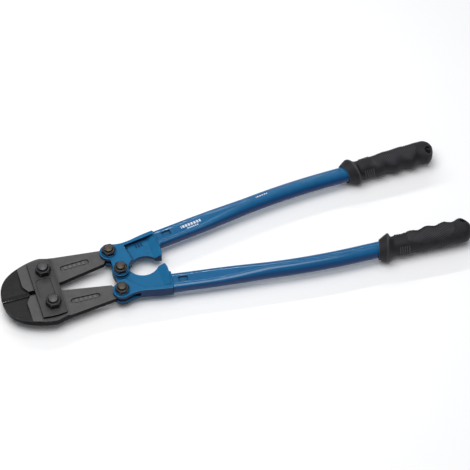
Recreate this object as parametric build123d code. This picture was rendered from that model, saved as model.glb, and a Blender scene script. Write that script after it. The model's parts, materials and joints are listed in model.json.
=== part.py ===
from build123d import *
import os
from math import atan2, cos, pi, radians, sin, sqrt, tan

# Bolt cutters, millimetres. The tool is drawn lying flat: X runs from the blades (-) to the grips (+),
# Y across the two handles, Z up. While drawing, X = Y = 0 is the centre bolt and Z = 0 the middle plane.
# to_frame() at the end moves everything so that the origin is under the middle of the tool, on the bench.
# Every handed piece is drawn once for the +Y side, and mirrored for the other one.

# ---- linkage: the five pivots -------------------------------------------------------------------
link_x = -7.3            # link bolt, from the centre bolt
link_y = 32.8
tail_run = 91.1          # jaw bolt to link bolt, along the tool
jaw_y = 27.1             # jaw bolt, from the centre line
jaw_x = link_x - tail_run

# ---- thicknesses and running clearances ---------------------------------------------------------
blade_half = 4.6         # half thickness of the blade end of a jaw
tail_half = 3.5          # half thickness of a jaw's tail and of the lower yoke's tongue
cheek_half = 7.75        # half thickness of a yoke over its fork
web_half = 2.4           # half thickness of a yoke's thin web
strap_thick = 4.0
plate_play = 0.1         # gap between a strap and a jaw
fork_play = 0.15         # gap between a tail or tongue and a fork's cheek
pin_play = 0.05          # radial clearance of every hinge pin
pivot_play = 3.0         # extra radius of the tongue's hole, where the linkage is left open
boss_rise = 0.9          # round raised seat under a nut or a bolt head

# ---- fasteners ----------------------------------------------------------------------------------
jaw_bolt_r = 6.0
jaw_nut_flats = 18.5
jaw_nut_high = 9.0
jaw_head_high = 7.5
jaw_bolt_stub = 3.4      # bolt end above its nut
link_bolt_r = 5.0
link_nut_flats = 16.5
link_nut_high = 5.6
link_head_high = 6.4
link_bolt_stub = 2.6
end_round = 0.35         # share of that stub which is domed
hex_chamfer = 0.65       # flat top of a hexagon, in from its flats
hex_slope = 32.0         # slope of the turned corners, degrees
nut_sink = 1.3           # countersink round the bolt, on top of a nut

# ---- jaws ---------------------------------------------------------------------------------------
blade_gap = 0.5          # cutting edge to the centre line, with the tool as it lies
head_reach = 63.1        # jaw bolt to the tip of the blade
corner_back = 52.4       # jaw bolt to the corner of the nose
corner_out = 4.4
flank_back = 27.6        # a point half way along the outer flank
flank_out = 19.7
crown = 25.6             # jaw bolt's axis to the widest point of the head
shoulder_run = 18.4      # where the flank turns into the tail
shoulder_out = 21.4
throat_half = 4.0        # gap behind the blades, from the centre line
throat_run = 26.1        # jaw bolt to the front of that gap
tail_root = 6.5          # inner corner of the tail, from the centre line
tail_root_run = 16.4
tail_out = 8.2           # outer edge of the tail near the link bolt, from the bolt's axis
tail_in = 14.3           # inner edge there
tail_eye_r = 11.0        # round end of the tail
head_step = 1.0          # strap's rear edge back to the start of the slope down to the tail
head_slope_run = 4.0
bevel_end = 32.1         # jaw bolt to the rear end of the ground bevel
bevel_wide = 50.0        # bevel, from the cutting edge outwards
hone_wide = 4.0          # steep second bevel beside the cutting edge
hone_half = 2.0          # half thickness where the two bevels meet
edge_half = 0.25         # half thickness of the cutting edge
corner_cut_out = 13.0    # bevel's oblique rear corner, from the centre line
jaw_edge = 0.9           # small chamfer round the jaw's faces
panel_long = 40.0        # sunk oblong panel on the tail
panel_wide = 8.6
panel_deep = 1.2
panel_at = 42.4          # jaw bolt to the middle of the panel

# ---- straps -------------------------------------------------------------------------------------
strap_front = 18.6       # in front of the jaw bolts
strap_rear = 15.0        # behind them
strap_over = 17.6        # past the jaw bolts at the ends
strap_bow = 1.6
strap_corner_r = 4.0
strap_rear_slope = 5.0   # sloped rear margin
strap_slope_drop = 1.6
strap_dish_deep = 0.7    # shallow hollow between the nuts
strap_dish_side = 4.0    # flat margin beside the hollow
strap_dish_end = 2.0     # hollow to a nut
strap_dish_r = 5.0
strap_edge = 0.5

# ---- yokes --------------------------------------------------------------------------------------
boss_r = 12.6            # round end at the link bolt
ear_r = 11.2             # round end at the centre bolt
tongue_r = 11.8          # round end of the lower yoke's tongue
seat_r = 9.6             # raised seat round a bolt
front_x = -9.0           # front edge between link bolt and centre bolt
end_x = 60.0             # end of the yoke on the handle's axis
end_y = 37.5
handle_angle = 8.2       # straight part of the handle, degrees off the centre line
yoke_out = 13.0          # outer edge at the end, from the handle's axis
waist_leave = 74.0       # where the outer edge leaves the round of the link bolt, degrees
waist_x = 9.0            # lowest point of the outer edge
waist_y = 42.2
waist_run = 12.0         # a second point of that edge, behind the lowest one
waist_rise = 0.9
scallop_r = 22.0         # round scallop under each yoke
scallop_x = 32.0
scallop_y = -6.3
heel_gap = 7.2           # heel to the centre line
heel_x = 58.6
heel_back_x = 59.8       # where the heel's rear edge turns towards the tube
heel_back_y = 13.0
rim_wide = 5.8           # thick rim along the outer edge
step_x_out = 15.0        # rear edge of the upper yoke's fork, at the rim and at the scallop
step_x_in = 18.8
ramp_x = 47.5            # where the web begins to rise to the end rim
ramp_end = 2.4           # end rim, along the handle
ramp_below = 0.8         # top of the slope, below the rim
yoke_corner = 2.2        # rounding of the plan's corners
yoke_round = 0.7         # rounding of the edges of the thick part
yoke_round_plan = 0.3    # its plan is rounded by that much more
lower_step_x = 1.0       # lower yoke's fork: its rear edge runs from here to the rim
lower_step_y = 16.6
lower_step_slope = 46.0  # degrees
slot_reach = 15.5        # side slot of a fork, rear end
slot_rim = 3.0           # metal left between that slot and the pocket
slot_play = 0.8          # round the eye of the tail
slot_ease_x = 1.5        # where the slot's rear wall turns outwards
slot_ease_y = 3.5
tongue_play = 0.4        # round the tongue, past the open pivot's play
tang_long = 52.0
tang_sink = 2.0          # start of the tang, inside the yoke

# ---- handle tubes and grips ---------------------------------------------------------------------
tube_r = 11.0
tube_wall = 2.4
flat_wide = 25.5         # flattened end of the tube
flat_high = 15.5
flat_square = 3.6        # exponent of the flattened section: 2 is an ellipse, more is squarer
flat_long = 48.0
blend_long = 92.0        # from flattened to round
bend_r = 1000.0
grip_angle = 2.0         # the handle's angle at the grip
tube_end = 143.0         # straight round end after the bend, up to the tube's end
tube_gap = 0.2           # yoke to tube
tang_play = 0.1
dent_long = 13.0         # crimp in the tube's flats
dent_wide = 8.0
dent_deep = 1.8
dent_at = 14.2
dent_corner_r = 1.2
grip_fit = 0.05
grip_cover = 112.0       # length of tube inside the grip
grip_bore_end = 0.3      # bore past the tube's end
mouth_r = 13.7
mouth_edge = 0.8         # broken edge of the mouth
mouth_bore_r = 12.3
mouth_deep = 7.0
collar_r = 19.5
collar_at = 12.0         # grip's mouth to the middle of its collar
collar_crest = 2.4       # width of the collar's crest
collar_drop = 3.6        # crest to the foot of its rear slope
collar_lean = 16.0       # the collar's outer side leans towards the blades, degrees
neck_flare = 2.0         # the neck is that much wider inside the collar
neck_at = 21.0
neck_half = 13.4
palm_half = 16.6
palm_at = 108.0
palm_ease = 0.8          # below 1, the palm widens early
grip_long = 130.5
grip_flat = 0.9          # height of the palm's section over its width
finger_pitch = 24.0
finger_swell = 1.8
finger_first = 46.5      # grip's mouth to the first finger swell
grip_nose = 13.0         # rounded last stretch
nose_blunt = 0.25        # share of the height that the nose keeps
hang_r = 4.0             # hanging hole
hang_at = 121.0          # grip's mouth to the hole
hang_in = 7.5            # handle's axis to the hole
hang_half = 9.0          # half the length of the hole's wall
hang_seat_r = 5.2
spare = 5.0              # how far a cut runs past what it cuts

# ---- worked-out sizes ---------------------------------------------------------------------------
strap_in = blade_half + plate_play
strap_top = strap_in + strap_thick
slot_half = tail_half + fork_play
seat_top = cheek_half + boss_rise
tall = 4 * collar_r      # taller than any piece, for cutting through
axis_dir = Vector(cos(radians(handle_angle)), sin(radians(handle_angle)))
side_dir = Vector(-axis_dir.Y, axis_dir.X)
end_point = Vector(end_x, end_y)
round_start = tube_gap + flat_long + blend_long
turn = handle_angle - grip_angle


def to_frame(shape):
    """Move a piece from drawing coordinates to the part's own frame."""
    left = jaw_x - head_reach
    right = grip_point(grip_long).X
    return Pos(-(left + right) / 2, 0, collar_r) * shape


def flip(shape):
    """The same piece on the other side of the centre line."""
    return mirror(shape, about=Plane.XZ)


def both_faces(shape):
    """A cut or a raised part on the upper face, and again on the lower face."""
    return shape + mirror(shape, about=Plane.XY)


def slab(face, half):
    return extrude(face, half, both=True)


def disc(x, y, r):
    return Pos(x, y) * Circle(r)


def poly(*points):
    return make_face(Polyline(*points, close=True))


def round_off(face, r):
    """Round every real corner of a plan, and leave its smooth joins alone."""
    edges = face.faces()[0].outer_wire().edges()
    corners = []
    for vertex in face.vertices():
        ways = []
        for edge in edges:
            if (edge @ 0 - Vector(vertex)).length < 1e-4:
                ways.append(edge % 0)
            elif (edge @ 1 - Vector(vertex)).length < 1e-4:
                ways.append((edge % 1) * -1)
        if len(ways) == 2 and ways[0].get_angle(ways[1]) < 165:
            corners.append(vertex)
    return fillet(corners, r)


def cross_plane(point, way, lean=0.0):
    """Plane across a direction, with its own X to the outer side, leaning that many degrees."""
    ahead = Vector(way.X, way.Y).rotate(Axis.Z, lean)
    return Plane((point.X, point.Y, 0), x_dir=(-ahead.Y, ahead.X, 0), z_dir=(ahead.X, ahead.Y, 0))


def post(x, y, r, low=-tall, high=tall):
    """An upright cylinder between two heights."""
    return Pos(x, y, low) * Cylinder(r, high - low, align=(Align.CENTER, Align.CENTER, Align.MIN))


# ---- jaws ---------------------------------------------------------------------------------------
def jaw_outline():
    tip = (jaw_x - head_reach, blade_gap)
    corner = (jaw_x - corner_back, jaw_y + corner_out)
    flank = (jaw_x - flank_back, jaw_y + flank_out)
    top = (jaw_x, jaw_y + crown)
    shoulder = (jaw_x + shoulder_run, jaw_y + shoulder_out)
    tail_upper = (link_x - tail_eye_r, link_y + tail_out)
    tail_lower = (link_x - tail_eye_r, link_y - tail_in)
    outer = Spline(
        tip,
        corner,
        flank,
        top,
        shoulder,
        tangents=[(0, 1), (tail_upper[0] - shoulder[0], tail_upper[1] - shoulder[1])],
    )
    inner = Polyline(
        shoulder,
        tail_upper,
        (link_x, link_y),
        tail_lower,
        (jaw_x + tail_root_run, tail_root),
        (jaw_x, throat_half),
        (jaw_x - throat_run, throat_half),
        (jaw_x - throat_run, blade_gap),
        tip,
    )
    return make_face(outer + inner) + disc(link_x, link_y, tail_eye_r)


def jaw_side():
    """Side view of the jaw: thick head, a short slope, thin tail."""
    front = jaw_x - head_reach - spare
    step = jaw_x + strap_rear - head_step
    rear = link_x + 2 * tail_eye_r
    upper = [(front, blade_half), (step, blade_half), (step + head_slope_run, tail_half), (rear, tail_half)]
    lower = [(x, -z) for x, z in reversed(upper)]
    return extrude(Plane.XZ * poly(*upper, *lower), tall, both=True)


def bevel_cut():
    """Material ground away above the blade: a wide shallow bevel and a steep one at the edge."""
    inner = blade_gap - spare
    rise = [
        (inner, edge_half),
        (blade_gap, edge_half),
        (blade_gap + hone_wide, hone_half),
        (blade_gap + bevel_wide, blade_half),
        (blade_gap + bevel_wide, tall),
        (inner, tall),
    ]
    front = jaw_x - head_reach - spare
    wedge = extrude(Plane((front, 0, 0), x_dir=(0, 1, 0), z_dir=(1, 0, 0)) * poly(*rise), jaw_x - front)
    plan = poly(
        (front, inner),
        (jaw_x - throat_run, inner),
        (jaw_x - throat_run, hone_wide),
        (jaw_x - bevel_end, corner_cut_out),
        (jaw_x - bevel_end, 3 * crown),
        (front, 3 * crown),
    )
    return wedge & extrude(plan, tall)


def tail_panel():
    """Sunk oblong panel along the middle of the tail."""
    middle = Vector(jaw_x + panel_at, 0)
    run = tail_run - tail_eye_r - shoulder_run
    share = (panel_at - shoulder_run) / run
    outer = jaw_y + shoulder_out + share * (link_y + tail_out - jaw_y - shoulder_out)
    inner = tail_root + share * (link_y - tail_in - tail_root)
    slope = (link_y + (tail_out - tail_in) / 2 - (jaw_y + shoulder_out + tail_root) / 2) / run
    oblong = SlotOverall(panel_long, panel_wide, rotation=atan2(slope, 1) * 180 / pi)
    return extrude(Pos(middle.X, (outer + inner) / 2, tail_half - panel_deep) * oblong, tall)


def chamfer_long(plate):
    """Break the long edges of a jaw's faces, and leave the cutting edge sharp."""
    edges = plate.faces().filter_by(Axis.Z).edges()
    outside = [edge for edge in edges if edge.length > tail_eye_r and edge.center().Y > throat_half + jaw_edge]
    return chamfer(outside, jaw_edge)


def jaw():
    plan = jaw_outline()
    tail = chamfer_long(slab(plan, tail_half))
    body = (chamfer_long(slab(plan, blade_half)) & jaw_side()) + tail
    body -= both_faces(bevel_cut())
    body -= both_faces(tail_panel())
    body -= post(jaw_x, jaw_y, jaw_bolt_r + pin_play)
    body -= post(link_x, link_y, link_bolt_r + pin_play)
    return body


# ---- straps -------------------------------------------------------------------------------------
def strap():
    """Cheek plate over both jaw bolts, drawn as the top one."""
    front = jaw_x - strap_front
    rear = jaw_x + strap_rear
    end = jaw_y + strap_over
    middle = (front + rear) / 2
    outline = Line((front, -end), (front, end))
    outline += ThreePointArc((front, end), (middle, end + strap_bow), (rear, end))
    outline += Line((rear, end), (rear, -end))
    outline += ThreePointArc((rear, -end), (middle, -end - strap_bow), (front, -end))
    plate = Pos(0, 0, strap_in) * extrude(make_face(outline), strap_thick)
    corners = plate.edges().filter_by(Axis.Z).group_by(Axis.X)[-1]
    plate = fillet(corners, strap_corner_r)
    slope = poly(
        (rear - strap_rear_slope, strap_top),
        (rear + 1, strap_top - strap_slope_drop * (strap_rear_slope + 1) / strap_rear_slope),
        (rear + 1, tall),
        (rear - strap_rear_slope, tall),
    )
    dish_long = 2 * (jaw_y - jaw_nut_flats / 2 - strap_dish_end)
    dish_wide = rear - strap_rear_slope - front - 2 * strap_dish_side
    dish_x = (front + rear - strap_rear_slope) / 2
    dish = Pos(dish_x, 0, strap_top - strap_dish_deep) * RectangleRounded(dish_wide, dish_long, strap_dish_r)
    front_edge = plate.faces().sort_by(Axis.Z)[-1].edges().sort_by(Axis.X)[0]
    plate = chamfer(front_edge, strap_edge)
    plate -= extrude(Plane.XZ * slope, tall, both=True)
    plate -= extrude(dish, tall)
    for side in (1, -1):
        plate -= post(jaw_x, side * jaw_y, jaw_bolt_r + pin_play)
    return plate


# ---- bolts and nuts -----------------------------------------------------------------------------
def hexagon(flats, high):
    """Hexagonal block standing on Z = 0, with its upper corners turned off."""
    corner_r = flats / sqrt(3)
    top_r = flats / 2 - hex_chamfer
    drop = (corner_r - top_r) * tan(radians(hex_slope))
    block = extrude(RegularPolygon(corner_r, 6), high)
    turned = poly((0, 0), (corner_r, 0), (corner_r, high - drop), (top_r, high), (0, high))
    return block & revolve(Plane.XZ * turned, Axis.Z)


def nut(x, y, low, flats, high, bolt_r):
    bore = bolt_r + pin_play
    low_end = (Align.CENTER, Align.CENTER, Align.MIN)
    sink = Pos(0, 0, high - nut_sink) * Cone(bore, bore + nut_sink, nut_sink, align=low_end)
    block = hexagon(flats, high) - Cylinder(bore, 4 * high) - sink
    return Pos(x, y, low) * block


def bolt(x, y, r, low, high, flats, head_high, stub):
    """Bolt with its head below `low` and an end that stands out above `high`, slightly domed."""
    end = high + stub
    rise = stub * end_round
    ball_r = (r * r + rise * rise) / (2 * rise)
    half_turn = atan2(r, ball_r - rise) / 2
    middle = (ball_r * sin(half_turn), end - ball_r + ball_r * cos(half_turn))
    profile = Polyline((0, end), (0, low), (r, low), (r, end - rise))
    profile += ThreePointArc((r, end - rise), middle, (0, end))
    shank = revolve(Plane.XZ * make_face(profile), Axis.Z)
    head = mirror(hexagon(flats, head_high), about=Plane.XY)
    return Pos(x, y) * (shank + Pos(0, 0, low) * head)


# ---- yokes --------------------------------------------------------------------------------------
def along(distance, offset=0.0):
    """A point on the straight part of the handle's axis, or beside it."""
    return end_point + axis_dir * distance + side_dir * offset


def yoke_outline(front_r):
    """Plan of a yoke. front_r is the radius of its round end at the centre bolt."""
    top_end = along(0, yoke_out)
    low_end = along(0, -yoke_out)
    leave = radians(waist_leave)
    boss_off = (link_x + boss_r * cos(leave), link_y + boss_r * sin(leave))
    front = Polyline((front_x, 0), (front_x, link_y), (link_x, link_y), boss_off)
    back = Spline(
        boss_off,
        (waist_x, waist_y),
        (waist_x + waist_run, waist_y + waist_rise),
        (top_end.X, top_end.Y),
        tangents=[(sin(leave), -cos(leave)), (axis_dir.X, axis_dir.Y)],
    )
    end = Polyline(
        (top_end.X, top_end.Y),
        (low_end.X, low_end.Y),
        (heel_back_x, heel_back_y),
        (heel_x, heel_gap),
        (scallop_x, heel_gap),
        (scallop_x, 0),
        (front_x, 0),
    )
    body = make_face(front + back + end)
    outline = body + disc(link_x, link_y, boss_r) + disc(0, 0, front_r)
    outline -= disc(scallop_x, scallop_y, scallop_r)
    return round_off(outline, yoke_corner)


def rim_region():
    """The thick margin along the outer edge and across the end of a yoke."""
    corner = along(-ramp_end, yoke_out - rim_wide)
    lower = along(-ramp_end, -2 * end_y)
    beyond = end_x + 2 * yoke_out
    return poly(
        (link_x, 2 * waist_y),
        (waist_x, waist_y - rim_wide),
        (corner.X, corner.Y),
        (lower.X, lower.Y),
        (beyond, lower.Y),
        (beyond, 2 * waist_y),
    )


def upper_fork_region():
    """Thick front of the upper yoke, over both of its bolts."""
    return poly(
        (-tall, 2 * waist_y),
        (step_x_out, 2 * waist_y),
        (step_x_out, link_y),
        (step_x_in, ear_r),
        (step_x_in, -2 * ear_r),
        (-tall, -2 * ear_r),
    )


def lower_fork_region():
    """Thick front of the lower yoke, over its link bolt only."""
    run = waist_y
    far = (lower_step_x + run, lower_step_y + run * tan(radians(lower_step_slope)))
    return poly(
        (-tall, lower_step_y),
        (lower_step_x, lower_step_y),
        far,
        (-tall, far[1]),
    )


def tail_slot():
    """Plan of the slot that takes the jaw's tail and lets it swing out to the side."""
    room = tail_eye_r + slot_play
    reach = link_x + room
    return disc(link_x, link_y, room) + poly(
        (-3 * boss_r, link_y - room),
        (link_x, link_y - room),
        (reach, link_y),
        (reach + slot_ease_x, link_y + slot_ease_y),
        (slot_reach, waist_y - rim_wide + slot_rim),
        (slot_reach, 2 * waist_y),
        (-3 * boss_r, 2 * waist_y),
    )


def tongue_slot():
    """Plan of the upper yoke's slot for the lower yoke's tongue."""
    room = tongue_r + pivot_play + tongue_play
    reach = link_x + tail_eye_r + slot_play
    between = poly((-3 * boss_r, 0), (reach, 0), (reach, link_y), (-3 * boss_r, link_y))
    return disc(0, 0, room) + between


def tang():
    """Tongue of the yoke inside the handle tube, with a hollow where the tube is crimped into it."""
    wide = flat_wide / 2 - tube_wall - tang_play
    high = flat_high / 2 - tube_wall - tang_play
    bar = extrude(section(-tang_sink, wide, high, flat_square), tang_long + tang_sink)
    hollow_deep = dent_deep + tang_play
    room = 2 * tang_play
    hollow = extrude(RectangleRounded(dent_long + room, dent_wide + room, dent_corner_r), tall)
    return bar - both_faces(dent_place(high - hollow_deep) * hollow)


def dent_place(height):
    """Where a crimp lies, at a given height."""
    spot = along(dent_at)
    return Location((spot.X, spot.Y, height), (0, 0, handle_angle))


def ramp():
    """The web's slope up to the end rim, on both faces."""
    top = along(-ramp_end)
    rise = poly(
        (ramp_x, 0),
        (ramp_x, web_half),
        (top.X, cheek_half - ramp_below),
        (top.X + ramp_end, cheek_half - ramp_below),
        (top.X + ramp_end, 0),
    )
    return both_faces(extrude(Plane.XZ * rise, tall, both=True))


def thick_part(outline, fork_region):
    """Full-thickness fork and rim, with rounded edges."""
    plan = outline & (fork_region + rim_region())
    thick = slab(round_off(plan, yoke_round + yoke_round_plan), cheek_half)
    edges = thick.faces().filter_by(Axis.Z).edges()
    return fillet(edges, yoke_round)


def yoke(front_r, fork_region, slot, seats, bored_r):
    outline = yoke_outline(front_r)
    body = slab(outline, web_half)
    body += ramp() & slab(outline, cheek_half)
    body += thick_part(outline, fork_region)
    for x, y in seats:
        body += post(x, y, seat_r, -seat_top, seat_top)
    body -= slab(slot, slot_half)
    body += tang()
    body -= post(link_x, link_y, link_bolt_r + pin_play)
    body -= post(0, 0, bored_r)
    return body


def upper_yoke():
    seats = [(link_x, link_y), (0, 0)]
    slot = tail_slot() + tongue_slot()
    return yoke(ear_r, upper_fork_region(), slot, seats, link_bolt_r + pin_play)


def lower_yoke():
    """Drawn on the +Y side like the upper one, and mirrored afterwards."""
    bore = link_bolt_r + pivot_play
    body = yoke(tongue_r, lower_fork_region(), tail_slot(), [(link_x, link_y)], bore)
    tongue = slab(disc(0, 0, tongue_r), tail_half) - post(0, 0, bore)
    return body + tongue


# ---- handle tubes -------------------------------------------------------------------------------
def section(distance, half_wide, half_high, power):
    """Cross-section of the handle: an ellipse for power 2, with flatter sides above that."""
    steps = 24
    points = []
    for i in range(steps):
        a = 2 * pi * i / steps
        c = cos(a)
        s = sin(a)
        size = (abs(c) ** power + abs(s) ** power) ** (-1 / power)
        points.append((half_wide * size * c, half_high * size * s))
    return cross_plane(along(distance), axis_dir) * make_face(Spline(*points, periodic=True))


def bend_line():
    """Axis of the round part: a long gentle bend, then straight through the grip."""
    start = along(round_start)
    bend = JernArc((start.X, start.Y), (axis_dir.X, axis_dir.Y), bend_r, -turn)
    last = Line(bend @ 1, bend @ 1 + (bend % 1) * tube_end)
    return bend + last


def tube_solid(inset):
    """The handle's outer shape, or its bore if inset by the wall."""
    flat = (flat_wide / 2 - inset, flat_high / 2 - inset)
    radius = tube_r - inset
    steps = 5
    faces = [section(tube_gap, *flat, flat_square), section(tube_gap + flat_long, *flat, flat_square)]
    for i in range(1, steps):
        share = i / steps
        ease = share * share * (3 - 2 * share)
        wide = flat[0] + (radius - flat[0]) * ease
        high = flat[1] + (radius - flat[1]) * ease
        power = flat_square + (2 - flat_square) * ease
        faces.append(section(tube_gap + flat_long + blend_long * share, wide, high, power))
    end_circle = cross_plane(along(round_start), axis_dir) * Circle(radius)
    faces.append(end_circle)
    straight = loft(faces[:2])
    blend = loft(faces[1:])
    return straight + blend + sweep(end_circle, path=bend_line())


def handle_tube():
    body = tube_solid(0.0) - tube_solid(tube_wall)
    outer = flat_high / 2
    oblong = RectangleRounded(dent_long, dent_wide, dent_corner_r)
    dent = extrude(oblong, tall)
    bump = extrude(oblong, tube_wall)
    body += both_faces(dent_place(outer - tube_wall - dent_deep) * bump)
    body -= both_faces(dent_place(outer - dent_deep) * dent)
    return body


# ---- grips --------------------------------------------------------------------------------------
def grip_frame():
    """Origin and direction of the grip's axis: its mouth on the straight end of the tube."""
    line = bend_line()
    tip = line @ 1
    way = line % 1
    return tip - way * grip_cover, way


def grip_point(distance, offset=0.0):
    origin, way = grip_frame()
    return origin + way * distance + Vector(-way.Y, way.X) * offset


def palm_sizes(u):
    """Half widths (outer side, finger side) and half height of the palm at a distance from the mouth."""
    share = max(0.0, min(1.0, (u - neck_at) / (palm_at - neck_at)))
    flare = neck_flare * max(0.0, 1 - (u - collar_at) / (neck_at - collar_at)) ** 2
    half = neck_half + flare + (palm_half - neck_half) * share ** palm_ease
    fade = max(0.0, min(1.0, (u - neck_at) / finger_pitch))
    wave = finger_swell * cos(2 * pi * (u - finger_first) / finger_pitch) * fade
    high = half * (1 - (1 - grip_flat) * share)
    left = grip_long - u
    taper = sqrt(max(0.0, 1 - (1 - left / grip_nose) ** 2)) if left < grip_nose else 1.0
    return half * taper, (half + wave) * taper, high * (nose_blunt + (1 - nose_blunt) * taper)


def grip_section(u):
    outer, inner, high = palm_sizes(u)
    return cross_plane(grip_point(u, (outer - inner) / 2), grip_frame()[1]) * Ellipse((outer + inner) / 2, high)


def grip_collar():
    """Front end: rings that lean, from the mouth up to a sharp crest and down to the neck."""
    front = collar_at - collar_crest / 2
    rear = collar_at + collar_crest / 2
    rings = [
        (0, mouth_r - mouth_edge),
        (mouth_edge, mouth_r),
        (front, collar_r),
        (rear, collar_r),
        (rear + collar_drop, neck_half),
    ]
    way = grip_frame()[1]
    return loft([cross_plane(grip_point(u), way, collar_lean) * Circle(r) for u, r in rings], ruled=True)


def grip_bore():
    """Bore for the tube, wider at the mouth."""
    low = (Align.CENTER, Align.CENTER, Align.MIN)
    before = 2 * spare
    bore = Cylinder(tube_r + grip_fit, before + grip_cover + grip_bore_end, align=low)
    funnel = Cylinder(mouth_bore_r, before + mouth_deep, align=low)
    return cross_plane(grip_point(-before), grip_frame()[1]) * (bore + funnel)


def grip():
    last = grip_long - grip_nose
    count = round((last - neck_at) / (finger_pitch / 4))
    stations = [collar_at, (collar_at + neck_at) / 2]
    stations += [neck_at + (last - neck_at) * i / count for i in range(count + 1)]
    stations += [grip_long - grip_nose * share for share in (0.75, 0.5, 0.28, 0.12, 0.03)]
    palm = loft([grip_section(u) for u in stations])
    body = palm + grip_collar()
    hole = grip_point(hang_at, -hang_in)
    body -= post(hole.X, hole.Y, hang_r)
    body -= both_faces(post(hole.X, hole.Y, hang_seat_r, hang_half, tall))
    return body - grip_bore()


# ---- assembly -----------------------------------------------------------------------------------
def build():
    parts = {}
    upper_jaw = jaw()
    parts["jaw_upper"] = upper_jaw
    parts["jaw_lower"] = flip(upper_jaw)
    top_strap = strap()
    parts["strap_top"] = top_strap
    parts["strap_bottom"] = mirror(top_strap, about=Plane.XY)
    parts["yoke_upper"] = upper_yoke()
    parts["yoke_lower"] = flip(lower_yoke())
    tube = handle_tube()
    rubber = grip()
    for side, name in ((1, "upper"), (-1, "lower")):
        parts["jaw_bolt_" + name] = bolt(
            jaw_x, side * jaw_y, jaw_bolt_r, -strap_top, strap_top + jaw_nut_high,
            jaw_nut_flats, jaw_head_high, jaw_bolt_stub,
        )
        parts["jaw_nut_" + name] = nut(
            jaw_x, side * jaw_y, strap_top, jaw_nut_flats, jaw_nut_high, jaw_bolt_r
        )
        parts["link_bolt_" + name] = bolt(
            link_x, side * link_y, link_bolt_r, -seat_top, seat_top + link_nut_high,
            link_nut_flats, link_head_high, link_bolt_stub,
        )
        parts["link_nut_" + name] = nut(
            link_x, side * link_y, seat_top, link_nut_flats, link_nut_high, link_bolt_r
        )
        parts["handle_tube_" + name] = tube if side > 0 else flip(tube)
        parts["grip_" + name] = rubber if side > 0 else flip(rubber)
    parts["centre_bolt"] = bolt(
        0, 0, link_bolt_r, -seat_top, seat_top + link_nut_high,
        link_nut_flats, link_head_high, link_bolt_stub,
    )
    parts["centre_nut"] = nut(0, 0, seat_top, link_nut_flats, link_nut_high, link_bolt_r)
    return parts


os.makedirs("parts", exist_ok=True)
for node, shape in build().items():
    export_step(to_frame(shape), "parts/" + node + ".step")
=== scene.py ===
# %% [markdown]
# # Bolt cutters
# A pair of long-handled bolt cutters lies on a pale bench. The steel pieces and the tubes come from the
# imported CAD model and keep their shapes. Here they get their finishes: black oxide on the jaws and straps,
# dark zinc on the nuts, blue enamel on the yokes and tubes. The rubber grips are modelled again with the
# detail that a mould gives them, because the CAD ones are plain solids for the motion tests.

# %% Load the frame
import json
from math import atan2, cos, pi, radians, sin, sqrt

import bmesh
import bpy
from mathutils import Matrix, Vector

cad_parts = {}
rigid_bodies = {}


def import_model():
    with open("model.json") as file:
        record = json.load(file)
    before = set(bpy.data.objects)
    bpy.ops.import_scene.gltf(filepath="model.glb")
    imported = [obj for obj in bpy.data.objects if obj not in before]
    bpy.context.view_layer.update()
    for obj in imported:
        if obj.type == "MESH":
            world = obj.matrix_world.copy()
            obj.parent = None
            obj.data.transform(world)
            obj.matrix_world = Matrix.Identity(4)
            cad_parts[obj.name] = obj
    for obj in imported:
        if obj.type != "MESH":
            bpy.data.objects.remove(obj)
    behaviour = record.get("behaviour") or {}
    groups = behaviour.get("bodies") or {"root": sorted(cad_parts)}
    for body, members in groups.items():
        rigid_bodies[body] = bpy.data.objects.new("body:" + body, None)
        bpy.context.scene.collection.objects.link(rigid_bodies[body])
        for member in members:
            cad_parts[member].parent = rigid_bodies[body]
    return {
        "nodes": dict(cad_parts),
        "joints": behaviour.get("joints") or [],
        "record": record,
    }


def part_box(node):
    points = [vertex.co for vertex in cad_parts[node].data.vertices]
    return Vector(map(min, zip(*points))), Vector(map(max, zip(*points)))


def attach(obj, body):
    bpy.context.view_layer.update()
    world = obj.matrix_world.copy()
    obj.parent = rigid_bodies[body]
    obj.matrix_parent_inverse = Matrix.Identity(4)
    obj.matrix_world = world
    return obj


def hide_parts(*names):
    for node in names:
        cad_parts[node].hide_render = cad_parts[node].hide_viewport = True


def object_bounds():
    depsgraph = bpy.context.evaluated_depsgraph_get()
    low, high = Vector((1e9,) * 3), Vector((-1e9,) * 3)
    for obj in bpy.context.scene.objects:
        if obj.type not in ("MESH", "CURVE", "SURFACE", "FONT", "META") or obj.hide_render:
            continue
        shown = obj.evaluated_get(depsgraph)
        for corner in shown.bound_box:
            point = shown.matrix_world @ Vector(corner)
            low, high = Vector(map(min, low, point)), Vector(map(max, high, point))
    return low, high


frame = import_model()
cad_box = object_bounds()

mm = 0.001
pivots = {joint["name"]: Vector(joint["pos_m"]) for joint in frame["joints"]}
low, high = (Vector(corner) for corner in cad_box)
middle = (low + high) / 2
print("the tool is", [round(size * 1000) for size in high - low], "mm")

# %% [markdown]
# ## Camera
# The view is from the blade end, a little left of the tool and well above it, through a long lens, so
# the two handles hardly shrink with distance. A camera is aimed with a track quaternion: it looks along
# its own -Z with +Y up.

# %% Camera
view_azimuth = radians(-17.83)
view_elevation = radians(52.12)
view_distance = 2.785
aim = middle + Vector((0.0104, 0.0162, -0.0038))
back = Vector((
    sin(view_azimuth) * cos(view_elevation),
    -cos(view_azimuth) * cos(view_elevation),
    sin(view_elevation),
))
camera_data = bpy.data.cameras.new("camera")
camera_data.lens = 158.9
camera_data.sensor_width = 36
camera = bpy.data.objects.new("camera", camera_data)
camera.location = aim + back * view_distance
camera.rotation_euler = back.to_track_quat("Z", "Y").to_euler()
bpy.context.scene.collection.objects.link(camera)
bpy.context.scene.camera = camera
print("camera", [round(value, 3) for value in camera.location])

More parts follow.
